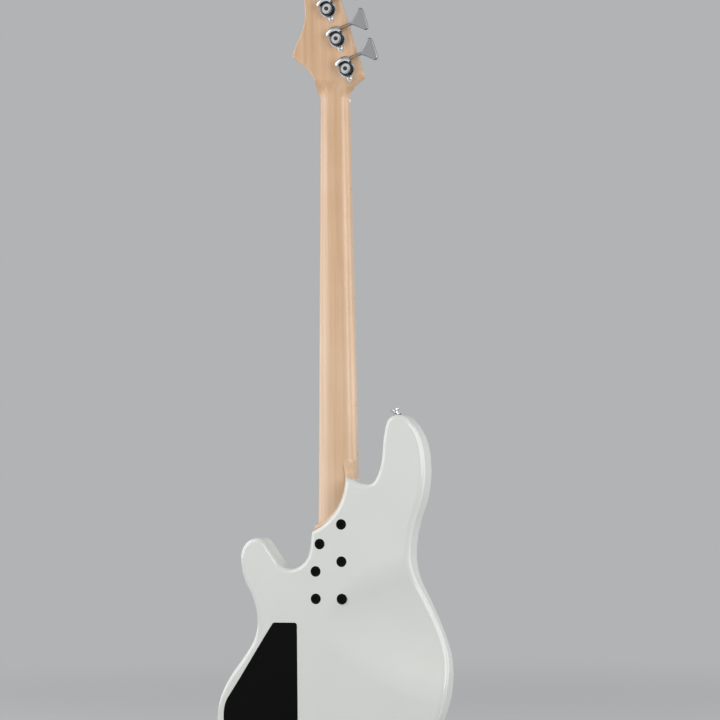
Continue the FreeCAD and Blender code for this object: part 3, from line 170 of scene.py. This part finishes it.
# Frets, nut and markers: nickel-silver wire pressed into sawn slots, a bone string guide behind the zero
# fret, and black dots let into the board's face and its bass edge. A steel rod lies in the neck under the
# board.
rub_depth = 0.000008
plated_steel, w = finish("nickel_steel", {"Metallic": 1.0})
rub = noise(w, (90.0, 2400.0, 2400.0), detail=2.0)
vary(plated_steel, {
    "Base Color": shade(w, rub, (0.2, (0.46, 0.45, 0.43)), (0.8, (0.60, 0.59, 0.57))),
    "Roughness": 0.2 + rub * 0.16,
    "Normal": bump(w, rub, rub_depth),
})
dress(plated_steel, "frets", "truss_rod")

bone, w = finish("bone", {"Coat Weight": 0.3, "Coat Roughness": 0.2})
fibre = noise(w, (260.0, 1200.0, 1200.0))
vary(bone, {
    "Base Color": shade(w, fibre, (0.3, (0.66, 0.56, 0.40)), (0.7, (0.78, 0.70, 0.55))),
    "Roughness": 0.3 + fibre * 0.15,
})
dress(bone, "nut")

stipple_depth = 0.00002
black_plastic, w = finish("black_plastic", {"Specular IOR Level": 0.06})
stipple = noise(w, (2600.0, 2600.0, 2600.0), detail=1.0)
vary(black_plastic, {
    "Base Color": shade(w, stipple, (0.3, (0.0012, 0.0012, 0.0013)), (0.7, (0.0028, 0.0028, 0.003))),
    "Roughness": 0.42 + stipple * 0.12,
    "Normal": bump(w, stipple, stipple_depth),
})
dress(black_plastic, "position_markers")


# Neck joint: wood screws through the body into the neck, each sunk in a turned ferrule. Both are steel,
# blacked, and set flush with the back.
black_steel, w = finish("blacked_steel", {"Metallic": 0.4, "Specular IOR Level": 0.1})
wear = noise(w, (700.0, 700.0, 700.0))
vary(black_steel, {
    "Base Color": shade(w, wear, (0.3, (0.002, 0.002, 0.0021)), (0.75, (0.006, 0.006, 0.006))),
    "Roughness": 0.34 + wear * 0.16,
})
dress(black_steel, "neck_ferrules", "neck_screws")


# Tuners: a cast base with a hood over the worm, an open gear on the post's end, a bushing pressed in from
# the front, and a key cast in one with its worm. All are brass under chrome, satin on the keys. Each key's
# shaft is painted brown, a painted reflection of the wood beside it. The gear is painted near black around
# its boss, a painted shade among its teeth, and its screw is painted near black.
tuner_numbers = ("1", "2", "3", "4")


def past_radius(wire, radius):
    """0 nearer than radius to the axis of the nearest string post, 1 farther out."""
    soft_edge = 0.0003
    flat = wire.node("VectorMath", {"operation": "MULTIPLY"}, {0: spot(wire), 1: (1.0, 0.0, 1.0)})
    nearest = None
    for number in tuner_numbers:
        low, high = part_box("tuner_post_" + number)
        axis = ((low[0] + high[0]) / 2, 0.0, (low[2] + high[2]) / 2)
        away = wire.node("VectorMath", {"operation": "DISTANCE"}, {0: flat, 1: axis}, out="Value")
        nearest = wire.math("MINIMUM", nearest, away) if nearest else away
    return wire.node("MapRange", {}, {"Value": nearest, "From Min": radius, "From Max": radius + soft_edge})


chrome, w = finish("chrome", {"Metallic": 1.0})
haze = noise(w, (160.0, 160.0, 160.0))
vary(chrome, {
    "Base Color": shade(w, haze, (0.3, (0.60, 0.61, 0.63)), (0.7, (0.68, 0.69, 0.71))),
    "Roughness": 0.1 + haze * 0.1,
})

shaft_end, brushing_depth = 0.0255, 0.000004
satin_chrome, w = finish("satin_chrome", {"Metallic": 1.0})
brushing = noise(w, (900.0, 900.0, 90.0))
past_painted_reflection = past_radius(w, shaft_end)
# painted reflection: within shaft_end of a post's axis the key's shaft is painted brown, the wood seen in its
# chrome
vary(satin_chrome, {
    "Base Color": shade(w, past_painted_reflection * 0.94 + brushing * 0.06,
                        (0.0, (0.44, 0.33, 0.24)), (1.0, (0.295, 0.30, 0.31))),
    "Roughness": 0.08 + past_painted_reflection * 0.26 + brushing * 0.08,
    "Normal": bump(w, brushing, brushing_depth),
})

screw_radius, boss_radius = 0.0029, 0.0070
painted_shade_gear, w = finish("painted_shade_gear", {"Metallic": 1.0})
# painted shade: outside its boss the gear is painted near black for the shade among its teeth, and the screw
# inside the boss is painted near black too
boss_ring = past_radius(w, screw_radius) - past_radius(w, boss_radius)
grease = noise(w, (700.0, 700.0, 700.0))
vary(painted_shade_gear, {
    "Base Color": shade(w, boss_ring * 0.9 + grease * 0.1,
                        (0.0, (0.030, 0.030, 0.031)), (1.0, (0.66, 0.67, 0.69))),
    "Roughness": 0.4 - boss_ring * 0.26 + grease * 0.08,
})
for number in tuner_numbers:
    dress(chrome, "tuner_base_" + number, "tuner_post_" + number)
    dress(painted_shade_gear, "tuner_gear_" + number)
    dress(satin_chrome, "tuner_key_" + number)
dress(chrome, "tuner_bushings")
dress(plated_steel, "tuner_screws")


# Bridge: a chromed brass plate with a rear wall, screwed to the top. Each saddle slides on its own screw and
# stands on two grub screws.
dress(chrome, "bridge_plate", "saddle_1", "saddle_2", "saddle_3", "saddle_4")
dress(plated_steel, "bridge_screws", "intonation_screws")


# Pickups: moulded black covers, screwed into routs in the top. Coils of enamelled copper wire lie inside
# them, out of sight.
dress(black_plastic, "neck_pickup_cover", "bridge_pickup_cover")
dress(plated_steel, "pickup_screws")
copper, w = finish("enamelled_copper", {"Metallic": 1.0})
layers = noise(w, (200.0, 9000.0, 200.0))
vary(copper, {
    "Base Color": shade(w, layers, (0.3, (0.36, 0.13, 0.06)), (0.7, (0.56, 0.24, 0.12))),
    "Roughness": 0.3 + layers * 0.2,
})
dress(copper, "pickup_coils")


# Controls: three potentiometers hang in the cavity on nuts, with chromed knobs pushed on their shafts. The
# cavity's lid is black sheet, let in flush with the back on its screws. A dipped film capacitor trims the
# treble.
dress(black_plastic, "control_cover")
dress(black_steel, "cover_screws")
dress(plated_steel, "potentiometers", "pot_nuts", "pot_shaft_volume", "pot_shaft_balance", "pot_shaft_tone")
dress(chrome, "knob_volume", "knob_balance", "knob_tone")
film, w = finish("capacitor_film", {"Coat Weight": 0.5})
dip = noise(w, (300.0, 300.0, 300.0))
vary(film, {
    "Base Color": shade(w, dip, (0.3, (0.36, 0.10, 0.03)), (0.7, (0.48, 0.17, 0.05))),
    "Roughness": 0.3 + dip * 0.1,
})
dress(film, "tone_capacitor")


# Output jack and strap buttons: turned and chromed. The jack sits behind a plate on the treble side, and each
# button is screwed to the body over a felt washer.
dress(chrome, "jack_plate", "strap_buttons")
dress(plated_steel, "output_jack", "strap_screws")
nap_depth = 0.0002
felt, w = finish("felt", {"Sheen Weight": 0.4, "Sheen Roughness": 0.5})
fuzz = noise(w, (1800.0, 1800.0, 1800.0), detail=4.0)
vary(felt, {
    "Base Color": shade(w, fuzz, (0.3, (0.010, 0.010, 0.010)), (0.7, (0.035, 0.034, 0.033))),
    "Roughness": 0.85 + fuzz * 0.15,
    "Normal": bump(w, fuzz, nap_depth),
})
dress(felt, "strap_felts")


# Strings: steel cores wound with nickel wire. Each runs from its brass ball behind the bridge, over its
# saddle and the nut, to the turns on its post.
wrap_pitch, wrap_depth = 0.00046, 0.00008
wound, w = finish("wound_string", {"Metallic": 1.0})
along = w.node("SeparateXYZ", {}, {"Vector": spot(w)}, out="Z")
# painted shade: each winding is painted darker toward the grooves on either side of it
turn = w.math("PINGPONG", along, wrap_pitch / 2) * (2 / wrap_pitch)
vary(wound, {
    "Base Color": shade(w, turn, (0.1, (0.20, 0.19, 0.18)), (0.6, (0.58, 0.57, 0.55))),
    "Roughness": 0.42 - turn * 0.14,
    "Normal": bump(w, turn, wrap_depth),
})
dress(wound, "string_e", "string_a", "string_d", "string_g")

brass, w = finish("brass", {"Metallic": 1.0})
tarnish = noise(w, (500.0, 500.0, 500.0))
vary(brass, {
    "Base Color": shade(w, tarnish, (0.3, (0.48, 0.34, 0.14)), (0.7, (0.66, 0.50, 0.25))),
    "Roughness": 0.22 + tarnish * 0.2,
})
dress(brass, "string_ball_ends")


# Camera: at the photograph's angle, behind the instrument, a little to its bass side and below its middle.
# A long lens keeps the neck and the body in one scale.
azimuth, elevation, roll = math.radians(197.5837), math.radians(-3.7067), math.radians(-0.5792)
aim = Vector((-0.04188, 0.001, 0.5923))
distance = 2.8
back = Vector((math.sin(azimuth) * math.cos(elevation), -math.cos(azimuth) * math.cos(elevation),
               math.sin(elevation)))
level = Vector((0, 0, 1)).cross(back).normalized()
rise = back.cross(level)
right = level * math.cos(roll) + rise * math.sin(roll)
up = rise * math.cos(roll) - level * math.sin(roll)
lens = bpy.data.cameras.new("camera")
lens.sensor_width = 36.0
lens.lens = 100.896
camera = bpy.data.objects.new("camera", lens)
facing = Matrix((right, up, back)).transposed().to_4x4()
camera.matrix_world = Matrix.Translation(aim + back * distance) @ facing
bpy.context.scene.collection.objects.link(camera)
bpy.context.scene.camera = camera


# Stage: a plain pale floor that fades into a plain pale surround. Soft boxes stand behind and beside the
# instrument, and the surround itself lights the front.
pale = (0.44, 0.45, 0.46, 1.0)
white = (1.0, 1.0, 1.0, 1.0)
floor_radius, floor_gap = 4.0, 0.001
fade_start, fade_end = 0.5, floor_radius * 0.6
floor_z = cad_box[0].z - floor_gap
disc = bpy.data.meshes.new("floor")
ring = bmesh.new()
bmesh.ops.create_circle(ring, cap_ends=True, segments=96, radius=floor_radius,
                        matrix=Matrix.Translation((0, 0, floor_z)))
ring.to_mesh(disc)
ring.free()
floor = bpy.data.objects.new("floor", disc)
bpy.context.scene.collection.objects.link(floor)
floor_paint, w = finish("pale_floor", {"Roughness": 0.9, "Base Color": (0.52, 0.53, 0.54, 1.0)})
outward = w.node("VectorMath", {"operation": "LENGTH"}, {0: spot(w)}, out="Value")
fade = w.node("MapRange", {"interpolation_type": "SMOOTHSTEP"},
              {"Value": outward, "From Min": fade_start, "From Max": fade_end})
glow = w.node("Emission", {}, {"Color": pale, "Strength": 1.0})
paint = Wire(w.tree, w.tree.nodes["Principled BSDF"].outputs[0])
mixed = w.node("MixShader", {}, {0: fade, 1: paint, 2: glow})
w.tree.links.new(mixed.socket, w.tree.nodes["Material Output"].inputs["Surface"])
disc.materials.append(floor_paint)

ambient, front_ambient = 0.22, 0.8
surround = bpy.data.worlds.new("surround")
surround.use_nodes = True
bpy.context.scene.world = surround
w = Wire(surround.node_tree)
w.tree.nodes.clear()
seen = (w.node("LightPath", out="Is Camera Ray") + w.node("LightPath", out="Is Glossy Ray")
        + w.node("LightPath", out="Is Transmission Ray"))
backdrop = w.node("Background", {}, {"Color": pale, "Strength": 1.0})
back_light = w.node("Background", {}, {"Color": white, "Strength": ambient})
front_light = w.node("Background", {}, {"Color": white, "Strength": front_ambient})
toward_back = w.node("SeparateXYZ", {}, {"Vector": w.node("TexCoord", out="Generated")}, out="Y")
to_front = w.node("MapRange", {}, {"Value": toward_back, "From Min": -0.2, "From Max": -0.8})
light = w.node("MixShader", {}, {0: to_front, 1: back_light, 2: front_light})
mixed = w.node("MixShader", {}, {0: seen, 1: light, 2: backdrop})
w.node("OutputWorld", {}, {"Surface": mixed})

# each soft box: the brightness of a white surface that faces it, its place along the camera's right, back and
# up from the camera's aim, its width and its height
soft_boxes = {
    "key": (0.72, 1.15, 1.64, 0.75, 1.2, 2.0),
    "fill": (0.07, -1.15, 1.64, 0.45, 1.2, 2.0),
    "treble_side": (0.54, -1.8, 0.7, 0.7, 1.0, 2.0),
    "treble_front": (0.4, -1.88, -0.68, 0.5, 1.4, 2.0),
    "bass_side": (0.34, 1.99, -0.17, 0.45, 1.4, 2.0),
}
for name, (brightness, across, behind, above, width, height) in soft_boxes.items():
    reach = level * across + back * behind + Vector((0, 0, above))
    panel = bpy.data.lights.new(name, "AREA")
    panel.shape = "RECTANGLE"
    panel.size, panel.size_y = width, height
    panel.energy = brightness * (math.pi * reach.length) ** 2
    lamp = bpy.data.objects.new(name, panel)
    lamp.visible_camera = False
    lamp.matrix_world = Matrix.Translation(aim + reach) @ reach.to_track_quat("Z", "Y").to_matrix().to_4x4()
    bpy.context.scene.collection.objects.link(lamp)

bpy.context.scene.view_settings.view_transform = "Standard"
